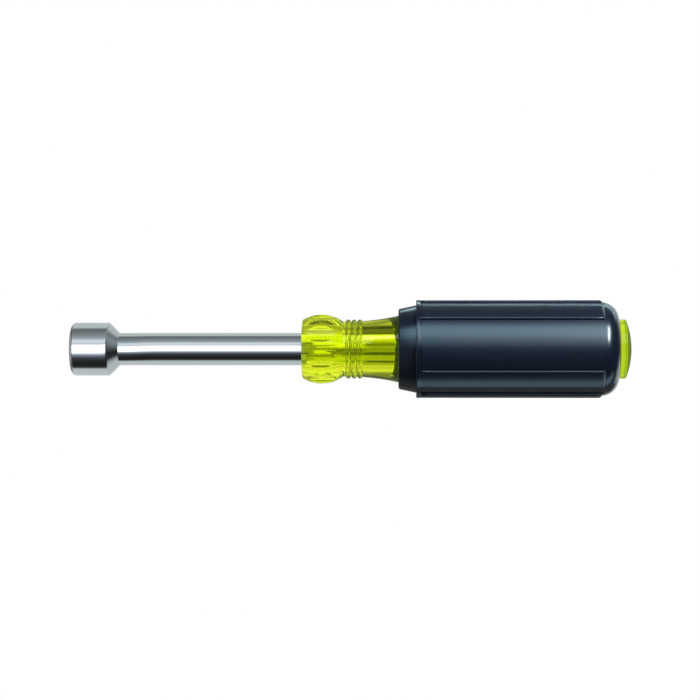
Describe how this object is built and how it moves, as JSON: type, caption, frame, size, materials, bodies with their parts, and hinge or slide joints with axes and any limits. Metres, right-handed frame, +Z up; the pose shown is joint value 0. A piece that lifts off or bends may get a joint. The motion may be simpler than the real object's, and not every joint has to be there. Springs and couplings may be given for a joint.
{
  "type": "nut driver",
  "caption": "Hollow-shank hand nut driver with a hex socket, a clear fluted ball handle with rings, and a ribbed cushion grip sleeve.",
  "frame": {"origin": "centre of the socket's mouth, on the tool's axis", "axes": "+X along the tool from the mouth to the butt, +Z up with the tool lying down, and the grip's two plain panels facing up and down"},
  "size_m": [0.184, 0.0322, 0.0322],
  "materials": {
    "plated_steel": "bright chrome plate over polished steel",
    "clear_acetate": "clear tinted moulding, polished",
    "cushion_vinyl": "soft satin vinyl"
  },
  "bodies": {
    "root": {"shank": "plated_steel", "handle": "clear_acetate", "grip": "cushion_vinyl"}
  },
  "joints": []
}
